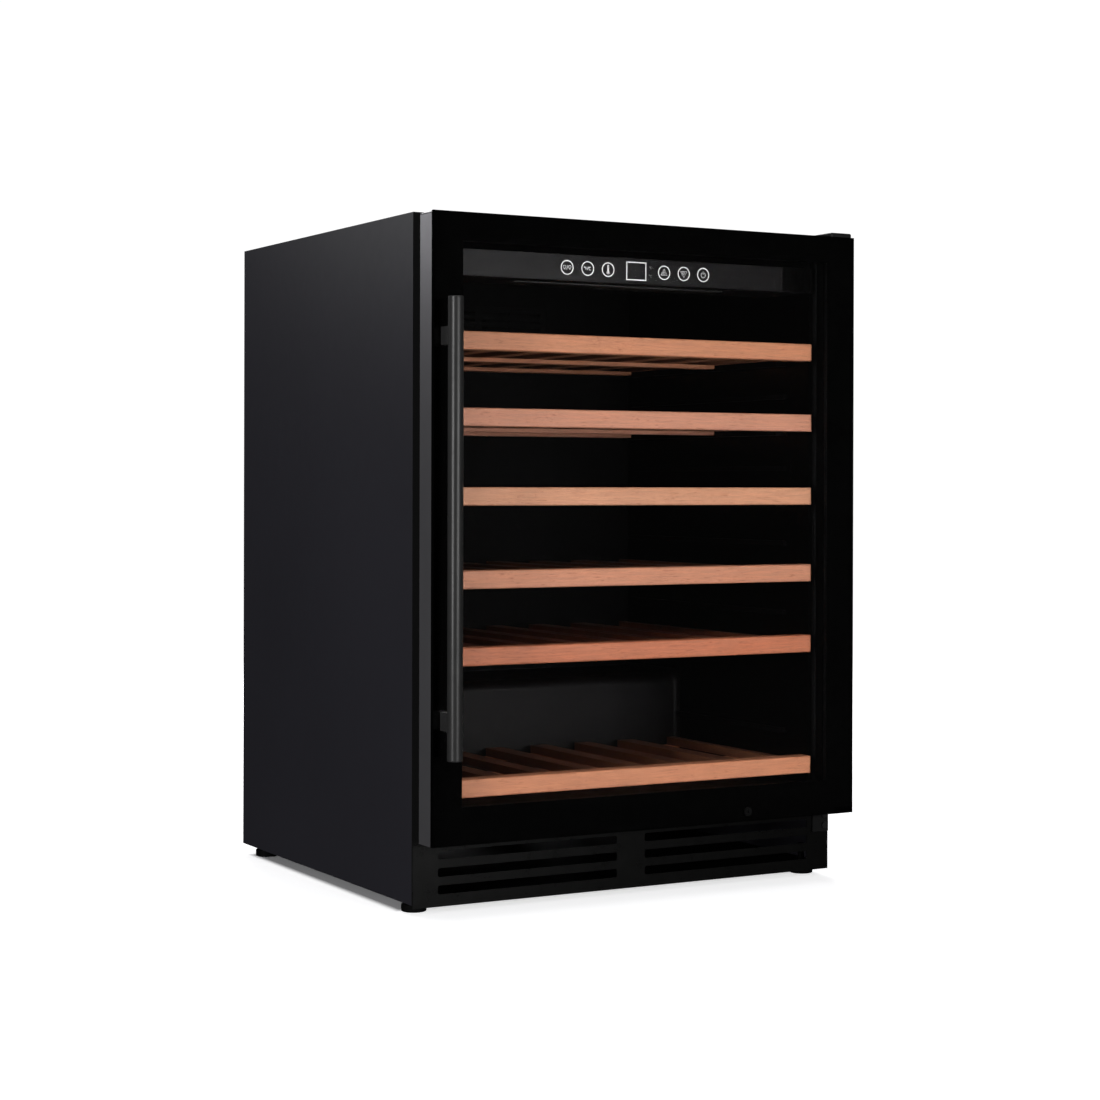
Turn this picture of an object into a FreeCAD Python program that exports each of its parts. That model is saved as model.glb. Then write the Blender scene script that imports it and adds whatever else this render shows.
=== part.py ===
"""Under-counter wine cooler with a full-glass door, six beech shelves and its refrigeration.

Frame: +Z up, +X to the right seen from the front, and the door faces -Y. Depths are measured
from the cabinet's front edge, positive to the rear. Each finished piece is then moved by
front_y, which centres the whole footprint on the origin.
"""

import FreeCAD, Part
import math
import os
import re

import Sketcher
from FreeCAD import Vector

os.makedirs("parts", exist_ok=True)
doc = FreeCAD.newDocument("WineCooler")

# ---------------------------------------------------------------- driving dimensions

DIMENSIONS = {
    # cabinet shell
    "front_y": -216.5, "half_width": 297.5, "depth": 520, "shell_low": 12.5, "shell_top": 817,
    "steel": 1, "flange": 12.5, "fit": 0.1, "deck_z": 83, "machine_y": 340, "machine_top": 204,
    "grille_top": 255.5, "frame_steel": 1.2, "frame_low": 82.2,
    # cold space
    "cavity_half": 262, "cavity_floor": 120, "cavity_top": 787, "cavity_back": 457,
    "hump_y": 302, "hump_top": 239, "liner_wall": 1.5, "corner": 9, "hump_round": 14,
    "cover_y": 427, "cover_half": 256, "cover_plate": 2, "shroud_y": 405, "shroud_half": 110,
    "fan_z": 716, "fan_half": 35,
    # control strip under the ceiling
    "fascia_half": 260, "fascia_y": -10, "fascia_low": 745, "fascia_top": 777,
    "touch_z": 761, "touch_first": 39.7, "touch_pitch": 28.5,
    # door
    "door_low": 87, "door_top": 814, "door_front": -53, "door_back": -18.5, "glass_out": 5,
    "pane_half": 272.5, "pane_low": 117.5, "pane_top": 793.5, "pane_front": -36.5, "pane_glass": 4,
    "window_half": 262, "window_low": 128, "window_top": 783, "spacer_width": 10.5,
    "notch_x": 268, "notch_z": 94.5,
    "seal_in": 268, "seal_out": 282, "seal_low": 105.5, "seal_top": 800, "seal_width": 14,
    "hinge_x": 288, "hinge_y": -30, "pin_radius": 4, "bush_radius": 7, "running_fit": 0.05,
    "bracket_in": 272, "bracket_out": 296.5, "plate_low": 88, "plate_up": 814.6, "plate": 2.8,
    "lock_x": 137, "lock_z": 99, "lock_radius": 4.5, "lock_core": 3, "cam_length": 14,
    "bar_x": -282.8, "bar_y": -80, "bar_radius": 9, "bar_low": 187.5, "bar_top": 714.5,
    "post_width": 10.4, "post_tall": 21, "post_low": 231, "post_top": 670.5,
    # shelves
    "shelf_half": 250, "shelf_front": -25, "board_deep": 22, "board_tall": 21.5,
    "rack_back": 422, "low_rack_back": 294, "rail_wide": 12, "rack_top": 7, "rack_low": 17.5,
    "slat_wide": 24, "cross_deep": 24, "cross_tall": 5, "cross_half": 243,
    "shelf_top_1": 679.5, "shelf_top_2": 590.5, "shelf_top_3": 498,
    "shelf_top_4": 401, "shelf_top_5": 311.5, "shelf_top_6": 158.5,
    "guide_front": 45, "guide_reach": 18, "guide_tall": 7,
    # kick plate
    "kick_half": 297, "kick_low": 8.5, "kick_top": 82, "kick_steel": 1.2, "kick_lip": 8,
    "slot_in": 20, "slot_out": 264, "slot_low": 23, "slot_tall": 10.2, "slot_pitch": 20.3,
    # feet and machine space
    "foot_x": 279, "foot_front": 32, "foot_rear": 480, "foot_radius": 15, "stem_radius": 4,
    "base_z": 14, "base_steel": 1.5, "machine_mid": 430,
    "pump_x": -150, "pump_radius": 62, "pump_low": 30, "pump_tall": 140,
    "blower_x": 8, "blower_deep": 25, "blower_half": 60, "blower_z": 88,
    "screw_head": 4.5, "screw_proud": 2, "screw_shank": 2, "screw_long": 8,
}
SHELVES = 6
TOUCH_ZONES = 3  # on each side of the display

sheet = doc.addObject("Spreadsheet::Sheet", "Dimensions")
for row, (alias, value) in enumerate(DIMENSIONS.items(), start=1):
    sheet.set(f"A{row}", alias)
    sheet.set(f"B{row}", str(value))
    sheet.setAlias(f"B{row}", alias)
doc.recompute()

PIECES = []


# ---------------------------------------------------------------- helpers


def sheet_names(text):
    """An expression written with bare aliases, as FreeCAD wants it."""
    return re.sub(
        r"[a-z][a-z_0-9]*",
        lambda m: "Dimensions." + m.group() if m.group() in DIMENSIONS else m.group(),
        str(text),
    )


def bind(thing, path, text):
    thing.setExpression(path, sheet_names(text))


def piece(label, thing):
    """Names a finished sub-part and moves it from the cabinet's front edge to the row frame."""
    own = {path.lstrip("."): text for path, text, *_ in thing.ExpressionEngine}
    offset = own.get("Placement.Base.y", "0")
    thing.setExpression("Placement.Base.y", f"Dimensions.front_y + ({offset})")
    thing.Label = label
    PIECES.append(thing)
    return thing


def box(x, y, z):
    """A Part::Box between a low and a high expression on each axis."""
    thing = doc.addObject("Part::Box", "Block")
    for side, axis, (low, high) in zip(("Length", "Width", "Height"), "xyz", (x, y, z)):
        bind(thing, f"Placement.Base.{axis}", low)
        bind(thing, side, f"({high}) - ({low})")
    return thing


def cylinder(axis, centre, low, high, radius):
    """A Part::Cylinder along X, Y or Z; centre gives the other two coordinates, in order."""
    turn = {"x": (Vector(0, 1, 0), 90), "y": (Vector(1, 0, 0), -90), "z": (Vector(0, 0, 1), 0)}
    thing = doc.addObject("Part::Cylinder", "Round")
    thing.Placement.Rotation = FreeCAD.Rotation(*turn[axis])
    others = [a for a in "xyz" if a != axis]
    for name, text in [(axis, low), *zip(others, centre)]:
        bind(thing, f"Placement.Base.{name}", text)
    bind(thing, "Height", f"({high}) - ({low})")
    bind(thing, "Radius", radius)
    return thing


def joined(things):
    thing = doc.addObject("Part::MultiFuse", "Joined")
    thing.Shapes = things
    return thing


def group(things):
    """Separate solids that share one node."""
    thing = doc.addObject("Part::Compound", "Group")
    thing.Links = things
    return thing


def less(base, tool):
    thing = doc.addObject("Part::Cut", "Less")
    thing.Base = base
    thing.Tool = tool
    return thing


def rounded(base, radius, wanted):
    """A Part::Fillet on the edges that the test picks."""
    doc.recompute()
    thing = doc.addObject("Part::Fillet", "Rounded")
    thing.Base = base
    picked = [n for n, e in enumerate(base.Shape.Edges, start=1) if wanted(e)]
    thing.Edges = [(n, radius, radius) for n in picked]
    return thing


def along(edge, axis):
    """Whether a straight edge runs along an axis."""
    if not isinstance(edge.Curve, Part.Line):
        return False
    return abs(abs(edge.Curve.Direction.dot(axis)) - 1) < 1e-6


X_AXIS, Y_AXIS, Z_AXIS = Vector(1, 0, 0), Vector(0, 1, 0), Vector(0, 0, 1)


def new_body():
    return doc.addObject("PartDesign::Body", "Body")


def sketch(body, role, loops, rounds, offset):
    """A sketch on one of the body's planes: loops of corner expressions, and circles."""
    plane = next(f for f in body.Origin.OriginFeatures if f.Role == role)
    drawing = body.newObject("Sketcher::SketchObject", "Outline")
    drawing.AttachmentSupport = (plane, [""])
    drawing.MapMode = "FlatFace"
    bind(drawing, "AttachmentOffset.Base.z", offset)
    for corners in loops:
        first = drawing.GeometryCount
        count = len(corners)
        turns = [2 * math.pi * n / count for n in range(count)]
        rough = [Vector(100 * math.cos(t), 100 * math.sin(t), 0) for t in turns]
        for n in range(count):
            drawing.addGeometry(Part.LineSegment(rough[n], rough[(n + 1) % count]), False)
        for n in range(count):
            after = first + (n + 1) % count
            drawing.addConstraint(Sketcher.Constraint("Coincident", first + n, 2, after, 1))
        for n, corner in enumerate(corners):
            for kind, start, text in zip(("DistanceX", "DistanceY"), rough[n], corner):
                made = drawing.addConstraint(Sketcher.Constraint(kind, first + n, 1, start))
                bind(drawing, f"Constraints[{made}]", text)
    for across, up, radius in rounds:
        n = drawing.addGeometry(Part.Circle(Vector(1, 1, 0), Vector(0, 0, 1), 5), False)
        for rule, text in (
            (Sketcher.Constraint("DistanceX", n, 3, 1.0), across),
            (Sketcher.Constraint("DistanceY", n, 3, 1.0), up),
            (Sketcher.Constraint("Radius", n, 5.0), radius),
        ):
            bind(drawing, f"Constraints[{drawing.addConstraint(rule)}]", text)
    return drawing


def pad(body, role, low, high, loops=(), rounds=()):
    """Adds an outline to the body between two planes. An XZ sketch faces -Y."""
    start = f"-({high})" if role == "XZ_Plane" else low
    feature = body.newObject("PartDesign::Pad", "Pad")
    feature.Profile = sketch(body, role, loops, rounds, start)
    bind(feature, "Length", f"({high}) - ({low})")
    body.Tip = feature
    return feature


def pocket(body, role, low, high, loops=(), rounds=()):
    """Takes an outline away between two planes, and makes sure that it does."""
    doc.recompute()
    before = body.Shape.Volume
    start = f"-({low})" if role == "XZ_Plane" else high
    feature = body.newObject("PartDesign::Pocket", "Pocket")
    feature.Profile = sketch(body, role, loops, rounds, start)
    bind(feature, "Length", f"({high}) - ({low})")
    body.Tip = feature
    doc.recompute()
    if body.Shape.Volume > before - 1:
        raise RuntimeError(f"{body.Name}: a pocket takes nothing away")
    return feature


def soften(body, radius, wanted):
    """A PartDesign::Fillet on the edges that the test picks."""
    doc.recompute()
    base = body.Tip
    edges = [f"Edge{n}" for n, e in enumerate(base.Shape.Edges, start=1) if wanted(e)]
    feature = body.newObject("PartDesign::Fillet", "Fillet")
    feature.Base = (base, edges)
    feature.Radius = radius
    body.Tip = feature
    doc.recompute()
    return feature


def rectangle(x, z):
    """The corners of a rectangle between a low and a high expression each way."""
    return [(x[0], z[0]), (x[1], z[0]), (x[1], z[1]), (x[0], z[1])]


def centred(half, z):
    return rectangle((f"-({half})", half), z)


def tube(points, radius, bend):
    """A round pipe through the points, with each corner bent to a radius."""
    corners = [Vector(*p) for p in points]
    edges, start = [], corners[0]
    for before, corner, after in zip(corners, corners[1:], corners[2:]):
        into = (corner - before).normalize()
        out = (after - corner).normalize()
        half_turn = into.getAngle(out) / 2
        reach = bend * math.tan(half_turn)
        first, last = corner - into * reach, corner + out * reach
        to_middle = (out - into).normalize()
        centre = corner + to_middle * (bend / math.cos(half_turn))
        middle = centre - to_middle * bend
        edges += [Part.LineSegment(start, first).toShape(), Part.Arc(first, middle, last).toShape()]
        start = last
    edges.append(Part.LineSegment(start, corners[-1]).toShape())
    path = Part.Wire(edges)
    heading = (corners[1] - corners[0]).normalize()
    profile = Part.Wire([Part.makeCircle(radius, corners[0], heading)])
    return path.makePipeShell([profile], True, False)


def part_feature(shape):
    thing = doc.addObject("Part::Feature", "Shaped")
    thing.Shape = shape
    return thing


# ---------------------------------------------------------------- fasteners' places

REAR_SCREWS = [(x, z) for x in ("-290.5", "290.5") for z in ("285", "455", "625", "795")]
GRILLE_SCREWS = [(x, z) for x in ("-290.5", "290.5") for z in ("35", "235")]
UPPER_HINGE_SCREWS = [("290.5", "790"), ("290.5", "804")]
LOWER_HINGE_SCREWS = [("290.5", "65"), ("290.5", "79")]
HINGE_SCREWS = UPPER_HINGE_SCREWS + LOWER_HINGE_SCREWS
HOLE = "screw_shank + fit"


def holes(places):
    return [(x, z, HOLE) for x, z in places]


# ---------------------------------------------------------------- cabinet shell


def side_panel(label, side):
    """A flat steel side whose front edge is folded inwards."""
    body = new_body()
    web = (f"{side}*(half_width - steel)", f"{side}*half_width")
    fold = (f"{side}*(half_width - flange)", f"{side}*(half_width - steel)")
    pad(body, "XY_Plane", "shell_low", "shell_top", [rectangle(web, ("0", "depth"))])
    pad(body, "XY_Plane", "shell_low", "shell_top - steel - fit", [rectangle(fold, ("0", "steel"))])
    if side == "1":
        pocket(body, "XZ_Plane", "-1", "steel + 1", rounds=holes(HINGE_SCREWS))
    piece(label, body)


def cabinet_shell():
    inside = "half_width - steel - fit"
    side_panel("side_panel_left", "-1")
    side_panel("side_panel_right", "1")
    piece("top_panel", box(
        (f"-({inside})", inside), ("0", "depth - steel"), ("shell_top - steel", "shell_top")))

    rear = new_body()
    pad(rear, "XZ_Plane", "depth - steel", "depth",
        [centred(inside, ("grille_top + 0.5", "shell_top - steel - fit"))], holes(REAR_SCREWS))
    piece("rear_panel", rear)

    base = new_body()
    feet = [(x, y, "stem_radius + 0.3")
            for x in ("-foot_x", "foot_x") for y in ("foot_front", "foot_rear")]
    pad(base, "XY_Plane", "base_z", "base_z + base_steel",
        [centred(inside, ("steel + 1", "depth - steel - 0.2"))], feet)
    piece("base_plate", base)

    deck = new_body()
    profile = [
        ("1.3", "deck_z"), ("machine_y + steel", "deck_z"),
        ("machine_y + steel", "machine_top"), ("depth - steel - 0.2", "machine_top"),
        ("depth - steel - 0.2", "machine_top + steel"), ("machine_y", "machine_top + steel"),
        ("machine_y", "deck_z + steel"), ("1.3", "deck_z + steel"),
    ]
    pad(deck, "YZ_Plane", f"-({inside})", inside, [profile])
    piece("lower_deck", deck)

    frame = new_body()
    opening = centred(
        "cavity_half + liner_wall + fit",
        ("cavity_floor - liner_wall - fit", "cavity_top + liner_wall + fit"))
    outside = centred("half_width - flange - 0.2", ("frame_low", "shell_top - steel - 0.2"))
    slot = rectangle(("lock_x - 7.5", "lock_x + cam_length + 4"), ("lock_z - 4.8", "lock_z + 4.8"))
    pad(frame, "XZ_Plane", "0", "frame_steel", [outside, opening, slot])
    piece("front_frame", frame)


def rear_grille():
    """The slotted steel cover of the machine space, with a cut-out for the inlet."""
    grille = new_body()
    inside = "half_width - steel - fit"
    inlet = rectangle(("-262.2", "-233.8"), ("39.8", "62.2"))
    slots = [rectangle((x, f"{x} + 90"), ("88", "92")) for x in ("-210", "-100", "10", "120")]
    pad(grille, "XZ_Plane", "depth - steel", "depth",
        [centred(inside, ("base_z", "grille_top")), inlet], holes(GRILLE_SCREWS))
    first = pocket(grille, "XZ_Plane", "depth - steel - 1", "depth + 1", slots)
    rows = grille.newObject("PartDesign::LinearPattern", "Rows")
    rows.Originals = [first]
    rows.Direction = (first.Profile[0], ["V_Axis"])
    rows.Length = 112
    rows.Occurrences = 9
    grille.Tip = rows
    piece("rear_grille", grille)


def foam():
    """Insulation that fills the walls between the shell, the deck and the liner."""
    body = new_body()
    inside = "half_width - steel - 2*fit"
    gap = "(liner_wall + fit)"
    pad(body, "YZ_Plane", f"-({inside})", inside, [[
        ("1.3", "deck_z + steel + fit"), ("machine_y - fit", "deck_z + steel + fit"),
        ("machine_y - fit", "machine_top + steel + fit"),
        ("depth - steel - fit", "machine_top + steel + fit"),
        ("depth - steel - fit", "shell_top - steel - fit"), ("1.3", "shell_top - steel - fit"),
    ]])
    pocket(body, "YZ_Plane", f"-(cavity_half + {gap})", f"cavity_half + {gap}", [[
        ("0", f"cavity_floor - {gap}"), (f"hump_y + {gap}", f"cavity_floor - {gap}"),
        (f"hump_y + {gap}", f"hump_top - {gap}"), (f"cavity_back + {gap}", f"hump_top - {gap}"),
        (f"cavity_back + {gap}", f"cavity_top + {gap}"), ("0", f"cavity_top + {gap}"),
    ]])
    thick = sheet.liner_wall + sheet.fit
    soften(body, sheet.hump_round - thick, lambda e: on_hump_edge(e, thick))
    pocket(body, "XZ_Plane", "1", "9", [rectangle(
        ("lock_x - 9", "lock_x + cam_length + 6"), ("deck_z", "lock_z + 7"))])
    pocket(body, "XZ_Plane", "1", "screw_long", rounds=holes(UPPER_HINGE_SCREWS))
    pocket(body, "XZ_Plane", "depth - screw_long", "depth", rounds=holes(REAR_SCREWS + [
        place for place in GRILLE_SCREWS if place[1] == "235"]))
    piece("foam_insulation", body)


def on_hump_edge(edge, inwards=0):
    """Whether an edge runs along the front of the hump's top, or that far inside it."""
    centre = edge.CenterOfMass
    return (along(edge, X_AXIS) and abs(centre.y - sheet.hump_y - inwards) < 0.1
            and abs(centre.z - sheet.hump_top + inwards) < 0.1)


def liner():
    """The white-goods tub turned black: one vacuum-formed shell with a hump at the rear."""
    body = new_body()
    wall = "liner_wall"
    pad(body, "YZ_Plane", f"-(cavity_half + {wall})", f"cavity_half + {wall}", [[
        ("0", f"cavity_floor - {wall}"), (f"hump_y + {wall}", f"cavity_floor - {wall}"),
        (f"hump_y + {wall}", f"hump_top - {wall}"), (f"cavity_back + {wall}", f"hump_top - {wall}"),
        (f"cavity_back + {wall}", f"cavity_top + {wall}"), ("0", f"cavity_top + {wall}"),
    ]])
    soften(body, sheet.hump_round - sheet.liner_wall, lambda e: on_hump_edge(e, sheet.liner_wall))
    pocket(body, "YZ_Plane", "-cavity_half", "cavity_half", [[
        ("-1", "cavity_floor"), ("hump_y", "cavity_floor"), ("hump_y", "hump_top"),
        ("cavity_back", "hump_top"), ("cavity_back", "cavity_top"), ("-1", "cavity_top"),
    ]])
    soften(body, sheet.hump_round, on_hump_edge)
    soften(body, sheet.corner, lambda e: along(e, Z_AXIS)
           and abs(abs(e.CenterOfMass.x) - sheet.cavity_half) < 0.1 and e.CenterOfMass.z < sheet.hump_top)
    piece("inner_liner", body)


def kick_plate():
    """Slotted plate below the door, notched for the lower hinge, with a folded bottom edge."""
    plate = new_body()
    edge = [
        ("-kick_half", "kick_low"), ("kick_half", "kick_low"), ("kick_half", "plate_low - 32"),
        ("bracket_in - 1", "plate_low - 32"), ("bracket_in - 1", "kick_top"),
        ("-kick_half", "kick_top"),
    ]
    pad(plate, "XZ_Plane", "-kick_steel", "0", [edge])
    lip = centred("kick_half - 12.8", ("kick_low", "kick_low + kick_steel"))
    pad(plate, "XZ_Plane", "0", "kick_lip", [lip])
    height = ("slot_low", "slot_low + slot_tall")
    slots = [rectangle(("slot_in", "slot_out"), height), rectangle(("-slot_out", "-slot_in"), height)]
    first = pocket(plate, "XZ_Plane", "-kick_steel - 1", "1", slots)
    rows = plate.newObject("PartDesign::LinearPattern", "Rows")
    rows.Originals = [first]
    rows.Direction = (first.Profile[0], ["V_Axis"])
    bind(rows, "Length", "2*slot_pitch")
    rows.Occurrences = 3
    plate.Tip = rows
    doc.recompute()
    soften(plate, 2.5, lambda e: along(e, Y_AXIS)
           and 15 < e.CenterOfMass.z < 80 and abs(e.CenterOfMass.x) < 266)
    piece("kick_plate", plate)


# ---------------------------------------------------------------- hinges, cover and screws


def hinges():
    """Two steel angles, each with a riveted pin on the door's axis."""
    reach = ("hinge_y - 8", "-0.1")
    screw_holes = {"top": holes(UPPER_HINGE_SCREWS), "bottom": holes(LOWER_HINGE_SCREWS)}
    legs = {"top": ("782", "plate_up + plate"), "bottom": ("57", "plate_low + plate")}
    plates = {"top": "plate_up", "bottom": "plate_low"}
    pins = {"top": ("plate_up - 11", "plate_up"), "bottom": ("plate_low + plate", "plate_low + 14")}
    for name in ("top", "bottom"):
        inner = "bracket_in" if name == "bottom" else "285.5"
        body = new_body()
        pad(body, "XY_Plane", plates[name], f"{plates[name]} + plate",
            [rectangle(("bracket_in", "bracket_out"), reach)])
        pad(body, "XZ_Plane", "-3", "-0.1",
            [rectangle((inner, "bracket_out"), legs[name])], screw_holes[name])
        pad(body, "XY_Plane", *pins[name], rounds=[("hinge_x", "hinge_y", "pin_radius")])
        piece(f"hinge_bracket_{name}", body)

    cap = box(("266", "bracket_out + 0.9"), ("-48", "-0.2"), ("plate_up", "820"))
    cap = rounded(cap, 2.2, lambda e: e.CenterOfMass.z > 819
                  or (along(e, Z_AXIS) and e.CenterOfMass.y < -40))
    hollow = box(
        ("bracket_in - 1.5", "bracket_out + 0.3"), ("hinge_y - 12", "1"),
        ("plate_up - 1", "plate_up + plate + 0.3"))
    piece("hinge_cover", less(cap, hollow))


def screws():
    """Pan-head screws of the rear panel and the rear grille, and those of the hinge brackets."""
    things = []
    for x, z in REAR_SCREWS + GRILLE_SCREWS:
        head = cylinder("y", (x, z), "depth", "depth + screw_proud", "screw_head")
        shank = cylinder("y", (x, z), "depth - screw_long + 1", "depth + 0.5", "screw_shank")
        things.append(joined([head, shank]))
    for x, z in HINGE_SCREWS:
        head = cylinder("y", (x, z), "-3 - screw_proud", "-3", "screw_head")
        shank = cylinder("y", (x, z), "-3.5", "screw_long - 1", "screw_shank")
        things.append(joined([head, shank]))
    piece("cabinet_screws", group(things))


# ---------------------------------------------------------------- inside the cold space


def shelf_guides():
    """A supporting ledge under each shelf's side rail and an anti-tip rib above it, both sides."""
    things = []
    for n in range(1, SHELVES + 1):
        top = f"shelf_top_{n}"
        back = "rack_back" if n < SHELVES else "low_rack_back"
        under = f"{top} - rack_low - 0.4"
        for side in ("-1", "1"):
            wall, reach = f"{side}*(cavity_half - fit)", f"{side}*(cavity_half - guide_reach)"
            rib = f"{side}*(cavity_half - 7)"
            across, slim = ((reach, wall), (rib, wall)) if side == "1" else ((wall, reach), (wall, rib))
            length = ("guide_front", back)
            things.append(box(across, length, (f"{under} - guide_tall", under)))
            if n > 1:
                things.append(box(slim, length, (f"{top} + 22", f"{top} + 28")))
    piece("shelf_guides", group(things))


def air_cover():
    """The rear wall of the cold space: a plate with return slots and a raised outlet hood."""
    body = new_body()
    pad(body, "XZ_Plane", "cover_y", "cover_y + cover_plate",
        [centred("cover_half", ("hump_top + 4", "cavity_top - 5"))], [("0", "fan_z", "fan_half - 8")])
    pad(body, "XZ_Plane", "shroud_y", "cover_y", [
        centred("shroud_half", ("fan_z - 32", "fan_z + 32")),
        centred("shroud_half - 2", ("fan_z - 30", "fan_z + 30"))])
    soften(body, 6, lambda e: along(e, Y_AXIS) and abs(e.Length - 22) < 0.1
           and abs(abs(e.CenterOfMass.x) - 110) < 0.5)
    face = [centred("shroud_half - 1", ("fan_z - 31", "fan_z + 31"))]
    grid = [rectangle((f"{x}", f"{x} + 44"), (f"fan_z {z}", f"fan_z {z} + 4"))
            for x in (-98, -49, 5, 54) for z in ("- 21", "- 11", "- 1", "+ 9", "+ 19")]
    pad(body, "XZ_Plane", "shroud_y + 1", "shroud_y + 3", face + grid)
    returns = [rectangle((f"{x}", f"{x} + 60"), (f"{z}", f"{z} + 5"))
               for x in range(-215, 200, 74) for z in (256, 268, 280)]
    pocket(body, "XZ_Plane", "cover_y - 1", "cover_y + cover_plate + 1", returns)
    piece("evaporator_cover", body)


def evaporator():
    """Serpentine aluminium tube brazed to a plate, behind the air cover."""
    middle = sheet.cover_y + 14
    runs, half, low, pitch = 9, 205, 285, 42
    points = []
    for n in range(runs):
        ends = (-half, half) if n % 2 == 0 else (half, -half)
        points += [(x, middle, low + n * pitch) for x in ends]
    coil = part_feature(tube(points, 4, 16))
    plate = box(("-230", "230"), (f"{middle} + 3.5", f"{middle} + 5"), ("265", "660"))
    piece("evaporator", joined([coil, plate]))


def fan_frame(axis_low, axis_high, half, hole, struts, motor):
    """A square fan frame with a round duct, and a motor held by four struts, made facing -Y."""
    body = new_body()
    square = rectangle((f"-{half}", f"{half}"), (f"-{half}", f"{half}"))
    pad(body, "XZ_Plane", axis_low, axis_high, [square], [("0", "0", f"{hole}")])
    arm = 2
    pad(body, "XZ_Plane", f"({axis_high}) - 3", axis_high,
        [rectangle((f"-{half - 1}", f"{half - 1}"), (f"-{arm}", f"{arm}"))])
    pad(body, "XZ_Plane", f"({axis_high}) - 3", axis_high,
        [rectangle((f"-{arm}", f"{arm}"), (f"-{half - 1}", f"{half - 1}"))])
    pad(body, "XZ_Plane", f"({axis_high}) - {struts}", axis_high, rounds=[("0", "0", f"{motor}")])
    soften(body, 4, lambda e: along(e, Y_AXIS) and abs(abs(e.CenterOfMass.x) - half) < 0.1)
    return body


def impeller(low, high, hub, tip, blades):
    """A hub with flat blades set round it, turning about the Y axis."""
    body = new_body()
    pad(body, "XZ_Plane", low, high, rounds=[("0", "0", f"{hub}")])
    first = pad(body, "XZ_Plane", f"({low}) + 1", f"({high}) - 1", [[
        (f"{hub} - 2", "-1"), (f"{tip} - 3", "-9"), (f"{tip}", "-6"), (f"{tip}", "-3"),
        (f"{hub} - 2", "3")]])
    doc.recompute()
    ring = body.newObject("PartDesign::PolarPattern", "Blades")
    ring.Originals = [first]
    ring.Axis = (first.Profile[0], ["N_Axis"])
    ring.Angle = 360
    ring.Occurrences = blades
    body.Tip = ring
    return body


def evaporator_fan():
    frame = fan_frame("cover_y + 4", "cover_y + 25", 35, 31, 9, 11)
    bind(frame, "Placement.Base.z", "fan_z")
    piece("evaporator_fan_housing", frame)
    blades = impeller("cover_y + 5", "cover_y + 15.5", 11, 28, 7)
    bind(blades, "Placement.Base.z", "fan_z")
    piece("evaporator_fan_impeller", blades)


def control_unit():
    """Housing under the ceiling, glossy fascia, board, touch sensors, display and light bar."""
    low, high = "fascia_low + 1", "cavity_top - 0.5"
    shell = box(("-fascia_half + 0.5", "fascia_half - 0.5"), ("fascia_y + 3.1", "85"), (low, high))
    inner = box(
        ("-fascia_half + 2.5", "fascia_half - 2.5"), ("fascia_y + 2", "83"), (f"{low} + 2", "cavity_top"))
    lamp_slot = box(("-150.3", "150.3"), ("29.7", "45.3"), (f"{low} - 1", f"{low} + 3"))
    piece("control_housing", less(shell, joined([inner, lamp_slot])))

    fascia = box(("-fascia_half", "fascia_half"), ("fascia_y", "fascia_y + 3"),
                 ("fascia_low", "fascia_top"))
    piece("control_fascia", rounded(fascia, 0.8, lambda e: along(e, X_AXIS)
                                    and e.CenterOfMass.y < sheet.fascia_y + 1))
    piece("control_board", box(
        ("-115", "115"), ("fascia_y + 7", "fascia_y + 8.6"), (f"{low} + 4", "fascia_top - 1")))
    piece("display_module", box(
        ("-16", "16"), ("fascia_y + 3.1", "fascia_y + 6.9"), ("touch_z - 11", "touch_z + 11")))
    sensors = []
    for side in ("-1", "1"):
        for n in range(TOUCH_ZONES):
            place = (f"{side}*(touch_first + {n}*touch_pitch)", "touch_z")
            sensors.append(cylinder("y", place, "fascia_y + 3.1", "fascia_y + 6.9", "6"))
    piece("touch_sensors", group(sensors))
    piece("light_bar", box(("-150", "150"), ("30", "45"), (f"{low} - 1", f"{low} + 5")))


# ---------------------------------------------------------------- machine space


def compressor():
    can = cylinder("z", ("pump_x", "machine_mid"), "pump_low", "pump_low + pump_tall", "pump_radius")
    can = rounded(can, 24, lambda e: isinstance(e.Curve, Part.Circle))
    base = box(("pump_x - 85", "pump_x + 85"), ("machine_mid - 45", "machine_mid + 45"),
               ("pump_low - 3", "pump_low"))
    neck = cylinder("z", ("pump_x", "machine_mid"), "pump_low - 1", "pump_low + 20", "36")
    relay = box(("pump_x + 50", "pump_x + 82"), ("machine_mid - 28", "machine_mid + 28"),
                ("pump_low + 45", "pump_low + 100"))
    bolts, grommets = [], []
    for x in ("pump_x - 74", "pump_x + 74"):
        for y in ("machine_mid - 34", "machine_mid + 34"):
            bolts.append(cylinder("z", (x, y), "0", "100", "4.2"))
            ring = cylinder("z", (x, y), "base_z + base_steel + fit", "pump_low - 3.1", "11")
            grommets.append(less(ring, cylinder("z", (x, y), "10", "40", "4")))
    piece("compressor", less(joined([can, base, neck, relay]), joined(bolts)))
    piece("compressor_grommets", group(grommets))


def condenser():
    """Tube-and-fin block beside the fan, whose air runs along X."""
    fins, pitch = 20, 6.6
    plates = [box(("70", "148"), (f"machine_mid - 63 + {n}*{pitch}", f"machine_mid - 62.2 + {n}*{pitch}"),
                  ("24", "156")) for n in range(fins)]
    tubes = [cylinder("y", (x, f"{z}"), "machine_mid - 69", "machine_mid + 69", "4")
             for x in ("90", "128") for z in range(40, 150, 25)]
    ends = [box(("70", "148"), (f"machine_mid {y}", f"machine_mid {y} + 1.5"), ("20", "160"))
            for y in ("- 66", "+ 64.5")]
    piece("condenser", joined(plates + tubes + ends))


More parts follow.
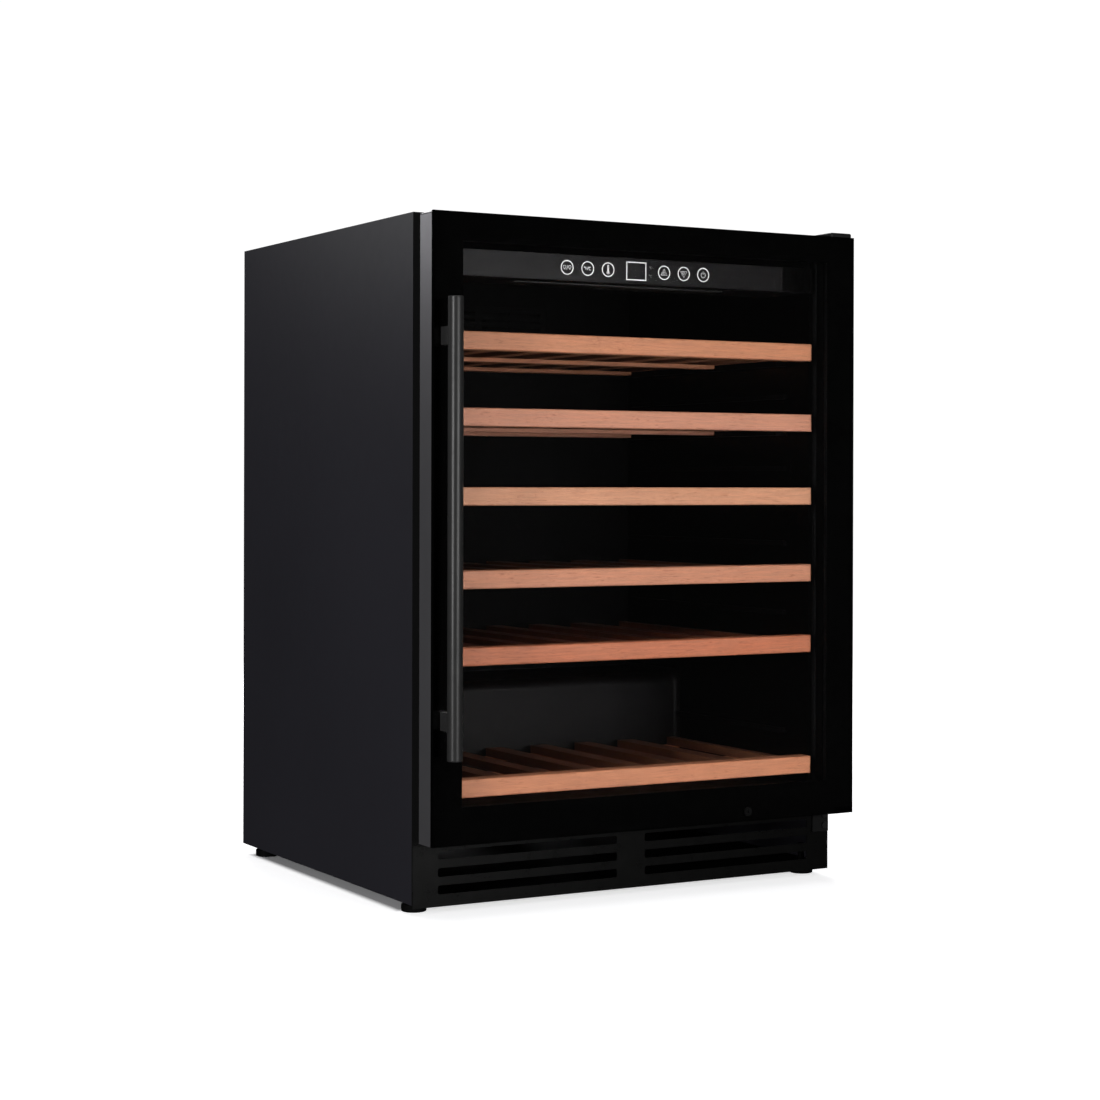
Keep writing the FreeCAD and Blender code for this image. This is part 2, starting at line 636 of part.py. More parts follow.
def condenser_fan():
    """The fan between the compressor and the condenser, turned to blow along X."""
    turned = FreeCAD.Rotation(Z_AXIS, 90)
    for label, body in (
        ("condenser_fan_housing", fan_frame("0", "blower_deep", 60, 55, 10, 18)),
        ("condenser_fan_impeller", impeller("1.5", "blower_deep - 11", 18, 51, 7)),
    ):
        body.Placement.Rotation = turned
        bind(body, "Placement.Base.x", "blower_x + blower_deep")
        bind(body, "Placement.Base.y", "machine_mid")
        bind(body, "Placement.Base.z", "blower_z")
        piece(label, body)


def drip_tray():
    top = "machine_top - 4"
    tray = box(("pump_x - 66", "pump_x + 66"), ("machine_mid - 66", "machine_mid + 66"),
               ("pump_low + pump_tall + 6", top))
    inner = box(("pump_x - 64", "pump_x + 64"), ("machine_mid - 64", "machine_mid + 64"),
                ("pump_low + pump_tall + 8", "machine_top"))
    piece("drip_tray", less(tray, inner))


def refrigerant_lines():
    """Discharge line, suction line, and the liquid line with its filter drier."""
    mid, top = sheet.machine_mid, sheet.machine_top - 0.5
    left, right = sheet.pump_x - sheet.pump_radius, sheet.pump_x + sheet.pump_radius
    front = sheet.machine_y + 12
    discharge = [(right + 0.3, mid - 10, 60), (right + 22, mid - 10, 60), (right + 22, front, 60),
                 (right + 22, front, 165), (109, front, 165), (109, front + 30, 165)]
    suction = [(left - 0.3, mid, 90), (left - 30, mid, 90), (left - 30, mid, 150),
               (left - 30, front, 150), (left - 30, front, top)]
    liquid = [(160, front, 40), (190, front, 40), (190, front, 70)]
    capillary = [(190, front, 160), (190, front, top)]
    lines = [part_feature(tube(points, radius, bend)) for points, radius, bend in (
        (discharge, 3, 9), (suction, 4, 12), (liquid, 3, 9), (capillary, 1.5, 4))]
    drier = cylinder("z", ("190", f"{front}"), "69", "161", "9")
    drier = rounded(drier, 5, lambda e: isinstance(e.Curve, Part.Circle))
    piece("refrigerant_lines", group(lines[:2] + [joined([drier, lines[2], lines[3]])]))


def power_inlet():
    """Flanged appliance inlet with three blades, let into the rear grille."""
    flange = box(("-275", "-221"), ("depth", "depth + screw_proud"), ("37", "65"))
    flange = rounded(flange, 6, lambda e: along(e, Y_AXIS))
    shell = box(("-262", "-234"), ("depth - 22", "depth + 0.5"), ("40", "62"))
    recess = box(("-259.5", "-236.5"), ("depth - 17", "depth + 5"), ("42.5", "59.5"))
    blades = [box((f"{x} - 1", f"{x} + 1"), ("depth - 18", "depth - 4"), (f"{z} - 2", f"{z} + 2"))
              for x, z in ((-255, 49), (-248, 54), (-241, 49))]
    piece("power_inlet", joined([less(joined([flange, shell]), recess), *blades]))


def feet():
    """Four levelling feet: a pad with a threaded stem through the base plate."""
    for across, x in (("left", "-foot_x"), ("right", "foot_x")):
        for depth, y in (("front", "foot_front"), ("rear", "foot_rear")):
            disc = cylinder("z", (x, y), "0", "9", "foot_radius")
            disc = rounded(disc, 1.5, lambda e: isinstance(e.Curve, Part.Circle))
            stem = cylinder("z", (x, y), "5", "38", "stem_radius")
            piece(f"foot_{depth}_{across}", joined([disc, stem]))


# ---------------------------------------------------------------- door


def door():
    glass = new_body()
    edge = [
        ("-half_width", "door_low"), ("notch_x", "door_low"), ("notch_x", "notch_z"),
        ("half_width", "notch_z"), ("half_width", "door_top"), ("-half_width", "door_top"),
    ]
    lock_hole = ("lock_x", "lock_z", "lock_radius + fit")
    pad(glass, "XZ_Plane", "door_front", "door_front + glass_out", [edge], [lock_hole])
    soften(glass, 4, lambda e: along(e, Y_AXIS) and e.CenterOfMass.z > 810)
    soften(glass, 0.6, lambda e: abs(e.CenterOfMass.y - sheet.door_front) < 0.01
           and not isinstance(e.Curve, Part.Circle) and e.Length > 30)
    piece("door_glass_outer", glass)

    frame = new_body()
    front = "door_front + glass_out + fit"
    window = centred("window_half", ("window_low", "window_top"))
    pad(frame, "XZ_Plane", front, "door_back", [edge, window], [lock_hole])
    rebate = centred("pane_half + 0.3", ("pane_low - 0.3", "pane_top + 0.3"))
    pocket(frame, "XZ_Plane", front, "pane_front + pane_glass + fit", [rebate])
    sockets = [("hinge_x", "hinge_y", "bush_radius + fit")]
    pocket(frame, "XY_Plane", "801", "door_top + 1", rounds=sockets)
    pocket(frame, "XY_Plane", "notch_z - 1", "notch_z + 13", rounds=sockets)
    soften(frame, 4, lambda e: along(e, Y_AXIS) and e.CenterOfMass.z > 810)
    piece("door_frame", frame)

    spacer = new_body()
    pane = ("pane_low", "pane_top")
    gap = "spacer_width"
    pad(spacer, "XZ_Plane", front, "pane_front - fit", [
        centred("pane_half", pane),
        centred(f"pane_half - {gap}", (f"pane_low + {gap}", f"pane_top - {gap}"))])
    piece("glazing_spacer", spacer)
    piece("door_glass_inner", box(
        ("-pane_half", "pane_half"), ("pane_front", "pane_front + pane_glass"), pane))

    seal = new_body()
    for near, far, inset in (("door_back + fit", "-13", "0"), ("-13", "-0.5", "2")):
        pad(seal, "XZ_Plane", near, far, [
            centred(f"seal_out - {inset}", (f"seal_low + {inset}", f"seal_top - {inset}")),
            centred(f"seal_in + {inset}", (f"seal_low + seal_width - {inset}",
                                           f"seal_top - seal_width + {inset}"))])
    piece("door_gasket", seal)

    bushes = []
    for low, high in (("801.2", "door_top"), ("notch_z", "notch_z + 12.8")):
        sleeve = cylinder("z", ("hinge_x", "hinge_y"), low, high, "bush_radius")
        bore = cylinder("z", ("hinge_x", "hinge_y"), "80", "818", "pin_radius + running_fit")
        bushes.append(less(sleeve, bore))
    piece("hinge_bushes", group(bushes))


def handle():
    bar = cylinder("z", ("bar_x", "bar_y"), "bar_low", "bar_top", "bar_radius")
    piece("handle_bar", rounded(bar, 1.5, lambda e: isinstance(e.Curve, Part.Circle)))
    posts = []
    for z in ("post_low", "post_top"):
        post = box(("bar_x - post_width/2", "bar_x + post_width/2"), ("bar_y + 3", "door_front - fit"),
                   (f"{z} - post_tall/2", f"{z} + post_tall/2"))
        saddle = cylinder("z", ("bar_x", "bar_y"), "bar_low", "bar_top", "bar_radius + 0.05")
        posts.append(less(post, saddle))
    piece("handle_posts", group(posts))


def lock():
    """A fixed barrel in the door's lower border, and its core with a cam behind the front frame."""
    centre = ("lock_x", "lock_z")
    barrel = cylinder("y", centre, "door_front - 1", "door_back", "lock_radius")
    collar = cylinder("y", centre, "door_front - 1", "door_front - fit", "lock_radius + 1")
    bore = cylinder("y", centre, "door_front - 5", "0", "lock_core + running_fit")
    piece("lock_housing", less(joined([barrel, collar]), bore))
    core = cylinder("y", centre, "door_front - 1.2", "5.5", "lock_core")
    cam = box(("lock_x - 4", "lock_x + cam_length"), ("3", "5.5"), ("lock_z - 4", "lock_z + 4"))
    keyway = box(("lock_x - 0.6", "lock_x + 0.6"), ("door_front - 2", "door_front + 6"),
                 ("lock_z - 2.2", "lock_z + 2.2"))
    piece("lock_cylinder", less(joined([core, cam]), keyway))


# ---------------------------------------------------------------- shelves


def shelf(n):
    """A beech front board, and behind it a rack of front-to-back slats on two cross rails."""
    top = f"shelf_top_{n}"
    back = "rack_back" if n < SHELVES else "low_rack_back"
    board_back = "shelf_front + board_deep"
    board = box(("-shelf_half", "shelf_half"), ("shelf_front", board_back), (f"{top} - board_tall", top))
    board = rounded(board, 2, lambda e: along(e, X_AXIS) or along(e, Z_AXIS))
    piece(f"shelf_{n}_front", board)

    inner = "shelf_half - rail_wide"
    rack_height = (f"{top} - rack_low", f"{top} - rack_top")
    rails = [
        box(("-shelf_half", f"-({inner})"), (board_back, back), rack_height),
        box((inner, "shelf_half"), (board_back, back), rack_height),
    ]
    crosses = [
        box(("-cross_half", "cross_half"), (f"({place}) - cross_deep", place),
            (f"{top} - rack_low - cross_tall", f"{top} - rack_low"))
        for place in (f"({back} + {board_back})/2", back)
    ]
    slats = 6
    pitch = f"2*({inner})/{slats + 1}"
    boards = []
    for k in range(1, slats + 1):
        middle = f"-({inner}) + {k}*{pitch}"
        boards.append(box((f"{middle} - slat_wide/2", f"{middle} + slat_wide/2"), (board_back, back),
                          rack_height))
    piece(f"shelf_{n}_rack", group(rails + crosses + boards))


# ---------------------------------------------------------------- build and save

cabinet_shell()
rear_grille()
foam()
liner()
kick_plate()
hinges()
screws()
shelf_guides()
air_cover()
evaporator()
evaporator_fan()
control_unit()
compressor()
condenser()
condenser_fan()
drip_tray()
refrigerant_lines()
power_inlet()
feet()
door()
handle()
lock()
for number in range(1, SHELVES + 1):
    shelf(number)

doc.recompute()
for thing in doc.Objects:
    if {"Invalid", "Error"} & set(thing.State):
        raise RuntimeError(f"{thing.Label} ({thing.Name}) doesn't compute")
for thing in PIECES:
    if thing.Shape.isNull() or not thing.Shape.isValid() or not thing.Shape.Solids:
        raise RuntimeError(f"{thing.Label} has no valid solid")
    thing.Shape.exportStep(f"parts/{thing.Label}.step")
print(len(PIECES), "sub-parts")
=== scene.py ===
import math

import bmesh
import bpy
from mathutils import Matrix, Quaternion, Vector


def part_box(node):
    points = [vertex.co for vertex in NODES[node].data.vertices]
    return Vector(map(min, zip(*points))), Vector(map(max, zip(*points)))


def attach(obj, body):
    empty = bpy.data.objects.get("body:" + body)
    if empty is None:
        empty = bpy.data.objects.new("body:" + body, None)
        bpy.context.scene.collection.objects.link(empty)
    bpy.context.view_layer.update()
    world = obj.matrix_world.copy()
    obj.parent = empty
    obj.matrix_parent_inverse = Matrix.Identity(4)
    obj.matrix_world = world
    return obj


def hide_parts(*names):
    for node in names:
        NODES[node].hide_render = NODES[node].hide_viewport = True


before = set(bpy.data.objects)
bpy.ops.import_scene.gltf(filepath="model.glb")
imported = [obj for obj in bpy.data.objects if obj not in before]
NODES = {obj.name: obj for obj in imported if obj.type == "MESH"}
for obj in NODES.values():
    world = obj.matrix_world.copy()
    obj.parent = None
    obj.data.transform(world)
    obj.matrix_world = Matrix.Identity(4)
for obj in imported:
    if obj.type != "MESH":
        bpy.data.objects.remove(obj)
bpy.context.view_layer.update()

MM = 0.001


# ---------------------------------------------------------------- camera, light and floor

CAMERA_PLACE = (-1.45141, -2.56721, 0.50292)
CAMERA_YAW, CAMERA_PITCH, CAMERA_ROLL = 29.1, -0.14, 0.14
CAMERA_SHIFT = (0.0190, -0.0558)
SENSOR_WIDTH, FOCAL_LENGTH = 36, 73.87


def make_camera():
    """A long lens a little left of the front, level with the middle of the cabinet."""
    yaw, pitch, roll = (math.radians(a) for a in (CAMERA_YAW, CAMERA_PITCH, CAMERA_ROLL))
    data = bpy.data.cameras.new("camera")
    data.sensor_width = SENSOR_WIDTH
    data.lens = FOCAL_LENGTH
    data.shift_x, data.shift_y = CAMERA_SHIFT
    data.clip_end = 60
    camera = bpy.data.objects.new("camera", data)
    bpy.context.scene.collection.objects.link(camera)
    level = math.cos(pitch)
    forward = Vector((math.sin(yaw) * level, math.cos(yaw) * level, math.sin(pitch)))
    camera.rotation_mode = "QUATERNION"
    camera.rotation_quaternion = forward.to_track_quat("-Z", "Y") @ Quaternion((0, 0, 1), roll)
    camera.location = CAMERA_PLACE
    bpy.context.scene.camera = camera


LIGHT_TARGET = Vector((0, -0.1, 0.45))


def softbox(name, azimuth, elevation, distance, width, height, power):
    """A rectangular studio light in watts aimed at the cabinet, angles in degrees from the front."""
    a, e = math.radians(azimuth), math.radians(elevation)
    away = Vector((math.sin(a) * math.cos(e), -math.cos(a) * math.cos(e), math.sin(e)))
    data = bpy.data.lights.new(name, "AREA")
    data.shape = "RECTANGLE"
    data.size = width
    data.size_y = height
    data.energy = power
    light = bpy.data.objects.new(name, data)
    bpy.context.scene.collection.objects.link(light)
    light.rotation_mode = "QUATERNION"
    light.rotation_quaternion = (-away).to_track_quat("-Z", "Y")
    light.location = LIGHT_TARGET + away * distance
    light.visible_camera = False
    light.visible_transmission = False


def make_world():
    """White behind the object, and for its reflections a dark room with a soft bright ceiling."""
    wall_glow, ceiling_glow, white_glow = 0.010, 0.16, 1.05
    world = bpy.data.worlds.new("studio")
    bpy.context.scene.world = world
    world.use_nodes = True
    nodes, links = world.node_tree.nodes, world.node_tree.links
    nodes.clear()
    place = nodes.new("ShaderNodeTexCoord")
    split = nodes.new("ShaderNodeSeparateXYZ")
    links.new(place.outputs["Generated"], split.inputs[0])
    height = nodes.new("ShaderNodeMapRange")
    height.interpolation_type = "SMOOTHSTEP"
    height.inputs["From Min"].default_value = 0.3
    height.inputs["From Max"].default_value = 1.0
    height.inputs["To Min"].default_value = wall_glow
    height.inputs["To Max"].default_value = ceiling_glow
    links.new(split.outputs["Z"], height.inputs["Value"])
    room = nodes.new("ShaderNodeBackground")
    links.new(height.outputs[0], room.inputs["Strength"])
    white = nodes.new("ShaderNodeBackground")
    white.inputs["Color"].default_value = (1, 1, 1, 1)
    white.inputs["Strength"].default_value = white_glow
    seen = nodes.new("ShaderNodeLightPath")
    mix = nodes.new("ShaderNodeMixShader")
    links.new(seen.outputs["Is Camera Ray"], mix.inputs[0])
    links.new(room.outputs[0], mix.inputs[1])
    links.new(white.outputs[0], mix.inputs[2])
    out = nodes.new("ShaderNodeOutputWorld")
    links.new(mix.outputs[0], out.inputs["Surface"])


def make_floor():
    """A wide pale floor, nearly as white as the background; its glow is dimmed near the cabinet and gone
    under it, a painted shadow on top of the soft shadow it takes.
    """
    reach, level = 14, -0.3 * MM
    points = [(x, y, level) for x, y in corners(-reach, reach, -reach, reach)]
    mesh = mesh_of("floor", points, [(0, 1, 2, 3)])
    floor = bpy.data.objects.new("floor", mesh)
    bpy.context.scene.collection.objects.link(floor)
    floor.visible_diffuse = False
    floor.visible_glossy = False
    floor.visible_transmission = False
    look = Look("floor", (0.9, 0.9, 0.92), 0.9)
    look.tones(look.noise(3.0), (0.88, 0.88, 0.90), (0.92, 0.92, 0.94))
    look.shader.inputs["Specular IOR Level"].default_value = 0.0
    look.shader.inputs["Emission Color"].default_value = (1.0, 1.0, 1.0, 1)
    away = look.add("ShaderNodeVectorMath")
    away.operation = "LENGTH"
    look.join(look.place.outputs["Object"], away.inputs[0])
    # Dimmer glow near the cabinet: painted shadow.
    near_glow, far_glow, near, far = 0.64, 1.0, 0.45, 1.5
    glow = look.ranged(away.outputs["Value"], near_glow, far_glow, near, far)
    # No glow under the cabinet: painted contact shadow.
    look.join(look.maths("MULTIPLY", glow, outside_painted_shadow(look)), look.shader.inputs["Emission Strength"])
    mesh.materials.append(look.material)


def outside_painted_shadow(look):
    """0 on the floor between the feet, 1 around it, with a soft edge: the painted contact shadow under the
    cabinet.
    """
    low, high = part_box("side_panel_left")[0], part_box("side_panel_right")[1]
    place = look.coordinates()
    past = []
    spans = (("X", low.x, high.x - 8 * MM), ("Y", low.y + 40 * MM, high.y - 20 * MM))
    for axis, start, end in spans:
        from_middle = look.maths("SUBTRACT", place[axis], (start + end) / 2)
        past.append(look.maths("SUBTRACT", look.maths("ABSOLUTE", from_middle), (end - start) / 2))
    return look.ranged(look.maths("MAXIMUM", *past), 0.0, 1.0, -8 * MM, 3 * MM)


def make_studio():
    """Softboxes in front, on the left, behind on both sides and overhead."""
    make_camera()
    make_world()
    make_floor()
    # name, azimuth, elevation, distance, width, height, power
    softbox("front_light", 5, 0, 3.2, 1.0, 0.9, 47)
    softbox("right_light", 18.8, 4, 3.2, 0.13, 0.7, 11.5)
    softbox("left_light", -64, 4, 3.2, 0.5, 1.2, 72)
    softbox("rear_left_light", -132, 26, 1.4, 0.36, 0.36, 1.35)
    softbox("rear_light", 160, 22, 3.2, 1.8, 1.2, 55)
    softbox("top_light", 0, 88, 2.6, 2.4, 2.4, 25)
    bpy.context.scene.view_settings.view_transform = "Standard"


# ---------------------------------------------------------------- materials

class Look:
    """A material: one Principled shader and the noise that varies its colour, roughness and relief."""

    def __init__(self, name, colour, roughness, metallic=0.0):
        self.material = bpy.data.materials.new(name)
        self.material.use_nodes = True
        self.tree = self.material.node_tree
        self.tree.nodes.clear()
        self.shader = self.add("ShaderNodeBsdfPrincipled")
        self.output = self.add("ShaderNodeOutputMaterial")
        self.join(self.shader.outputs[0], self.output.inputs["Surface"])
        self.shader.inputs["Base Color"].default_value = (*colour, 1)
        self.shader.inputs["Roughness"].default_value = roughness
        self.shader.inputs["Metallic"].default_value = metallic
        self.place = self.add("ShaderNodeTexCoord")

    def add(self, kind):
        return self.tree.nodes.new(kind)

    def join(self, source, target):
        self.tree.links.new(source, target)

    def stretched(self, scale):
        """The object's own coordinates, scaled differently along each axis."""
        mapping = self.add("ShaderNodeMapping")
        mapping.inputs["Scale"].default_value = scale
        self.join(self.place.outputs["Object"], mapping.inputs["Vector"])
        return mapping.outputs[0]

    def coordinates(self):
        """The object's own X, Y and Z, each as a socket."""
        split = self.add("ShaderNodeSeparateXYZ")
        self.join(self.place.outputs["Object"], split.inputs[0])
        return split.outputs

    def noise(self, scale, stretch=(1, 1, 1), detail=4.0, distortion=0.0):
        node = self.add("ShaderNodeTexNoise")
        node.inputs["Scale"].default_value = scale
        node.inputs["Detail"].default_value = detail
        node.inputs["Distortion"].default_value = distortion
        self.join(self.stretched(stretch), node.inputs["Vector"])
        return node.outputs["Fac"]

    def cells(self, scale, stretch=(1, 1, 1), output="Color"):
        node = self.add("ShaderNodeTexVoronoi")
        node.inputs["Scale"].default_value = scale
        self.join(self.stretched(stretch), node.inputs["Vector"])
        return node.outputs[output]

    def lines(self, scale, axis):
        node = self.add("ShaderNodeTexWave")
        node.bands_direction = axis
        node.inputs["Scale"].default_value = scale
        node.inputs["Distortion"].default_value = 0.0
        node.inputs["Detail"].default_value = 1.0
        self.join(self.place.outputs["Object"], node.inputs["Vector"])
        return node.outputs["Fac"]

    def ranged(self, value, low, high, start=0.3, end=0.7):
        """The value spread from low to high between two thresholds."""
        node = self.add("ShaderNodeMapRange")
        node.inputs["From Min"].default_value = start
        node.inputs["From Max"].default_value = end
        node.inputs["To Min"].default_value = low
        node.inputs["To Max"].default_value = high
        self.join(value, node.inputs["Value"])
        return node.outputs[0]

    def maths(self, operation, *values):
        node = self.add("ShaderNodeMath")
        node.operation = operation
        for socket, value in zip(node.inputs, values):
            if isinstance(value, (int, float)):
                socket.default_value = value
            else:
                self.join(value, socket)
        return node.outputs[0]

    def blend(self, value, dark, light):
        """A colour between two, given as colours or as sockets."""
        node = self.add("ShaderNodeMix")
        node.data_type = "RGBA"
        self.join(value, node.inputs["Factor"])
        for colour, socket in ((dark, node.inputs[6]), (light, node.inputs[7])):
            if isinstance(colour, tuple):
                socket.default_value = (*colour, 1)
            else:
                self.join(colour, socket)
        return node.outputs[2]

    def tones(self, value, dark, light, start=0.3, end=0.7):
        """Varies the base colour between two tones."""
        colour = self.blend(self.ranged(value, 0.0, 1.0, start, end), dark, light)
        self.join(colour, self.shader.inputs["Base Color"])

    def recolour(self, mask, colour):
        """Puts another colour over the base colour where the mask is 1."""
        under = self.shader.inputs["Base Color"].links[0].from_socket
        self.join(self.blend(mask, under, colour), self.shader.inputs["Base Color"])

    def limit_roughness(self, operation, value):
        """Raises the roughness to a value with MAXIMUM, or lowers it to one with MINIMUM."""
        under = self.shader.inputs["Roughness"].links[0].from_socket
        self.join(self.maths(operation, under, value), self.shader.inputs["Roughness"])

    def sheen(self, value, low, high):
        """Varies the roughness."""
        self.join(self.ranged(value, low, high), self.shader.inputs["Roughness"])

    def relief(self, value, height, strength=0.5):
        """Adds bumps of the given height in metres."""
        node = self.add("ShaderNodeBump")
        node.inputs["Distance"].default_value = height
        node.inputs["Strength"].default_value = strength
        self.join(value, node.inputs["Height"])
        self.join(node.outputs[0], self.shader.inputs["Normal"])


def shades(colour, spread):
    """A darker and a lighter version of a colour."""
    return tuple(c * (1 - spread) for c in colour), tuple(c * (1 + spread) for c in colour)


def painted(name, colour, roughness, grain=900, height=0.06 * MM, metallic=0.0, gloss=0.5):
    """Powder-coated steel: a fine orange peel and slightly uneven gloss."""
    look = Look(name, colour, roughness, metallic)
    look.tones(look.noise(3), *shades(colour, 0.07))
    look.sheen(look.noise(60), roughness - 0.012, roughness + 0.018)
    look.relief(look.noise(grain, detail=2), height)
    look.shader.inputs["Specular IOR Level"].default_value = gloss
    return look


def plastic(name, colour, roughness, grain=1400, height=0.04 * MM, gloss=0.5):
    """Moulded plastic with a fine stipple."""
    look = Look(name, colour, roughness)
    look.tones(look.noise(30), *shades(colour, 0.15))
    look.sheen(look.noise(60), roughness - 0.05, roughness + 0.06)
    look.relief(look.cells(grain, output="Distance"), height)
    look.shader.inputs["Specular IOR Level"].default_value = gloss
    return look


def galvanised(name):
    """Zinc-coated sheet with its spangle."""
    look = Look(name, (0.42, 0.43, 0.44), 0.42, 0.85)
    look.tones(look.cells(120), (0.30, 0.31, 0.32), (0.50, 0.51, 0.52), 0.1, 0.9)
    look.sheen(look.noise(90), 0.34, 0.52)
    look.relief(look.noise(500), 0.04 * MM)
    return look


def bright_metal(name, colour, roughness, stretch=(1, 1, 1)):
    """Machined or drawn metal with fine lines along one direction."""
    look = Look(name, colour, roughness, 1.0)
    look.tones(look.noise(60), *shades(colour, 0.12))
    streaks = look.noise(700, stretch)
    look.sheen(streaks, roughness - 0.06, roughness + 0.08)
    look.relief(streaks, 0.02 * MM)
    return look


def satin_bar(name, colour):
    """Black lacquer on a drawn bar, with faint lines along Z."""
    look = Look(name, colour, 0.3)
    look.tones(look.noise(60), *shades(colour, 0.1))
    streaks = look.noise(700, (1, 1, 0.02))
    look.sheen(streaks, 0.30, 0.37)
    look.relief(streaks, 0.01 * MM)
    look.shader.inputs["Specular IOR Level"].default_value = 0.19
    return look


def grained(look, colour, along):
    """Beech colour with fine grain and short dark ray flecks along one axis, and the grain itself."""
    def drawn_out(length):
        return [length if axis == along else 1.0 for axis in "XYZ"]

    broad = look.noise(26, drawn_out(0.12), 3, 0.4)
    grain = look.noise(620, drawn_out(0.045), 5)
    flecks = look.noise(780, drawn_out(0.16), 1)
    dark, light = shades(colour, 0.11)
    warm = (light[0], light[1] * 0.93, light[2] * 0.88)
    base = look.blend(look.ranged(broad, 0.0, 1.0, 0.32, 0.68), warm, light)
    lined = look.blend(look.ranged(grain, 0.0, 1.0, 0.36, 0.64), dark, base)
    deep = (colour[0] * 0.62, colour[1] * 0.50, colour[2] * 0.44)
    return look.blend(look.ranged(flecks, 0.0, 0.75, 0.635, 0.70), lined, deep), grain


def beech(name, colour):
    """Lacquered steamed beech board with its grain along X."""
    look = Look(name, colour, 0.5)
    tone, grain = grained(look, colour, "X")
    look.join(tone, look.shader.inputs["Base Color"])
    look.sheen(grain, 0.42, 0.58)
    look.relief(grain, 0.06 * MM)
    look.shader.inputs["Specular IOR Level"].default_value = 0.35
    return look


def beech_rack(name, colour, painted_shade, split):
    """The rack behind a board: slats along Y darkened by painted shade, and cross rails along X at the
    board's tone below the split height.
    """
    look = Look(name, colour, 0.55)
    # Painted shade: the slats take a darker copy of the board's colour.
    slats, grain = grained(look, tuple(painted_shade * c for c in colour), "Y")
    rails, _ = grained(look, colour, "X")
    below = look.maths("LESS_THAN", look.coordinates()["Z"], split)
    look.join(look.blend(below, slats, rails), look.shader.inputs["Base Color"])
    look.sheen(grain, 0.48, 0.64)
    look.relief(grain, 0.06 * MM)
    look.shader.inputs["Specular IOR Level"].default_value = 0.3
    return look


def glass(name, tint):
    """Clear pane: it refracts and reflects, and lets the studio light through to what is behind."""
    look = Look(name, tint, 0.0)
    look.shader.inputs["Transmission Weight"].default_value = 1.0
    look.shader.inputs["IOR"].default_value = 1.5
    look.tones(look.noise(4), *shades(tint, 0.01))
    look.relief(look.noise(3), 0.01 * MM, 0.1)
    clear = look.add("ShaderNodeBsdfTransparent")
    clear.inputs["Color"].default_value = (*tint, 1)
    ray = look.add("ShaderNodeLightPath")
    mix = look.add("ShaderNodeMixShader")
    look.join(ray.outputs["Is Shadow Ray"], mix.inputs[0])
    look.join(look.shader.outputs[0], mix.inputs[1])
    look.join(clear.outputs[0], mix.inputs[2])
    look.join(mix.outputs[0], look.output.inputs["Surface"])
    return look


def finned(name, axis, per_metre):
    """Aluminium fin block: close thin plates, with painted shade in the gaps between them."""
    look = Look(name, (0.55, 0.56, 0.57), 0.4, 0.9)
    fins = look.lines(per_metre / 3.2, axis)
    # Dark bands between the plates: painted shade in the gaps.
    look.tones(fins, (0.06, 0.06, 0.065), (0.62, 0.63, 0.64), 0.35, 0.65)
    look.sheen(look.noise(200), 0.3, 0.5)
    look.relief(fins, 0.8 * MM, 0.8)
    return look


def rubber(name, colour=(0.012, 0.012, 0.013)):
    """Matt rubber with a slightly chalky surface."""
    look = Look(name, colour, 0.62)
    look.tones(look.noise(80), *shades(colour, 0.3))
    look.sheen(look.noise(150), 0.55, 0.72)
    look.relief(look.noise(1100), 0.05 * MM)
    look.shader.inputs["Specular IOR Level"].default_value = 0.15
    return look


def foam(name):
    """Poured polyurethane foam."""
    look = Look(name, (0.72, 0.62, 0.38), 0.85)
    look.tones(look.noise(40), (0.62, 0.52, 0.30), (0.78, 0.68, 0.44))
    look.relief(look.cells(350, output="Distance"), 0.6 * MM)
    return look


def circuit(name):
    """Green circuit board with paler tracks."""
    look = Look(name, (0.01, 0.09, 0.03), 0.4)
    look.tones(look.cells(160, (1, 1, 2.5), "Distance"), (0.008, 0.07, 0.025), (0.03, 0.16, 0.06))
    look.relief(look.cells(160, (1, 1, 2.5), "Distance"), 0.1 * MM)
    return look


def ink(name, colour, glow):
    """Screen print in the given colour; its glow is painted light, with no lamp behind it."""
    look = Look(name, colour, 0.6)
    look.tones(look.noise(900), *shades(colour, 0.05))
    look.relief(look.noise(2000), 0.01 * MM)
    look.shader.inputs["Emission Color"].default_value = (*colour, 1)
    look.shader.inputs["Emission Strength"].default_value = glow
    return look


def give(look, *names):
    """Puts one material on whole CAD nodes."""
    for name in names:
        slots = NODES[name].data.materials
        slots.clear()
        slots.append(look.material)


def cabinet_paint(name, roughness, gloss):
    """Charcoal paint on the cabinet's outside; the folds that face the door are painted black and rough, a
    painted shade of the gap behind the door.
    """
    look = painted(name, (0.0165, 0.0160, 0.0205), roughness, gloss=gloss)
    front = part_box("side_panel_left")[0].y
    fold_painted_shade = look.maths("LESS_THAN", look.coordinates()["Y"], front + 0.3 * MM)
    # Painted shade: black on the folds that face the door.
    look.recolour(fold_painted_shade, (0.0008, 0.0008, 0.0008))
    look.limit_roughness("MAXIMUM", fold_painted_shade)
    return look


LINER_STIPPLE = 900


def liner_plastic():
    """Black liner with a low sheen on its back and hump; its side walls are darker and smoother, a painted
    shade.
    """
    look = plastic("liner", (0.0030, 0.0023, 0.0027), 0.40, LINER_STIPPLE, 0.08 * MM, gloss=0.24)
    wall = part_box("shelf_guides")[1].x
    from_middle = look.maths("ABSOLUTE", look.coordinates()["X"])
    side = look.maths("GREATER_THAN", from_middle, wall - 0.5 * MM)
    # Painted shade: the side walls get a darker colour.
    look.recolour(side, (0.0008, 0.0006, 0.0007))
    look.limit_roughness("MINIMUM", look.ranged(side, 1.0, 0.18, 0.0, 1.0))
    return look


